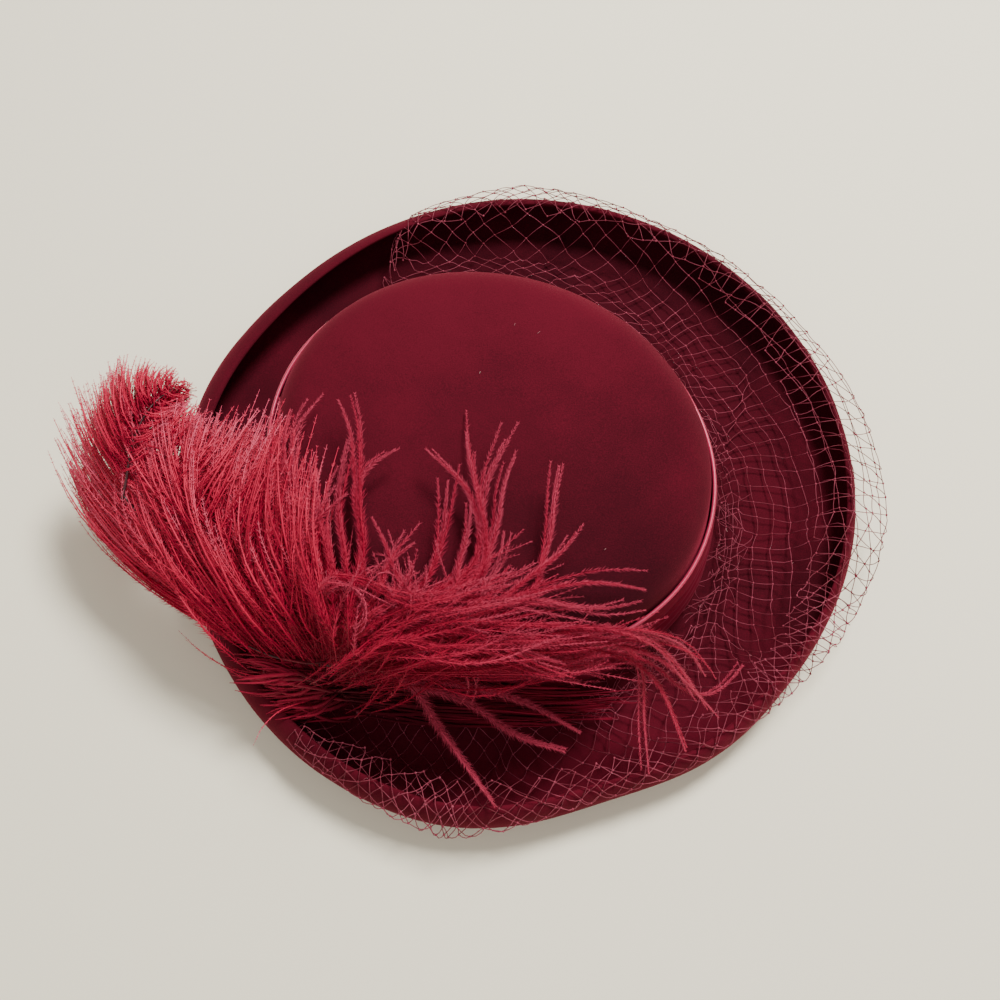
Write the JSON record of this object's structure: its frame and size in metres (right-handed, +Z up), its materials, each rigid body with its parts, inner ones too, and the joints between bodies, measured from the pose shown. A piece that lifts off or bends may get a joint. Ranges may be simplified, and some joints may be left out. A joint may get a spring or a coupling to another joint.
{
  "type": "wide-brim felt hat",
  "caption": "Wide-brim felt hat lying crown up, with a rolled brim edge, folded satin band, net veil over the brim and ostrich feathers curling past one side.",
  "frame": {"origin": "under the middle of the whole hat's box, on the surface that the brim lies on", "axes": "+Z up through the crown, -Y towards the side with the spray of barbs, -X towards the plume, as the picture shows it"},
  "size_m": [0.3676, 0.3232, 0.1036],
  "materials": {
    "velour_felt": "burgundy velour felt with a short brushed pile",
    "satin": "burgundy satin ribbon with a soft sheen",
    "net_thread": "fine knotted thread, mauve to maroon",
    "ostrich_barbs": "crimson ostrich barbs, soft and matte",
    "under_barbs": "dark red smooth barbs"
  },
  "bodies": {
    "root": {"felt_hat": "velour_felt", "satin_band": "satin", "net_veil": "net_thread", "ostrich_plume": "ostrich_barbs", "feather_spray": "ostrich_barbs", "under_feather": "under_barbs"}
  },
  "joints": []
}
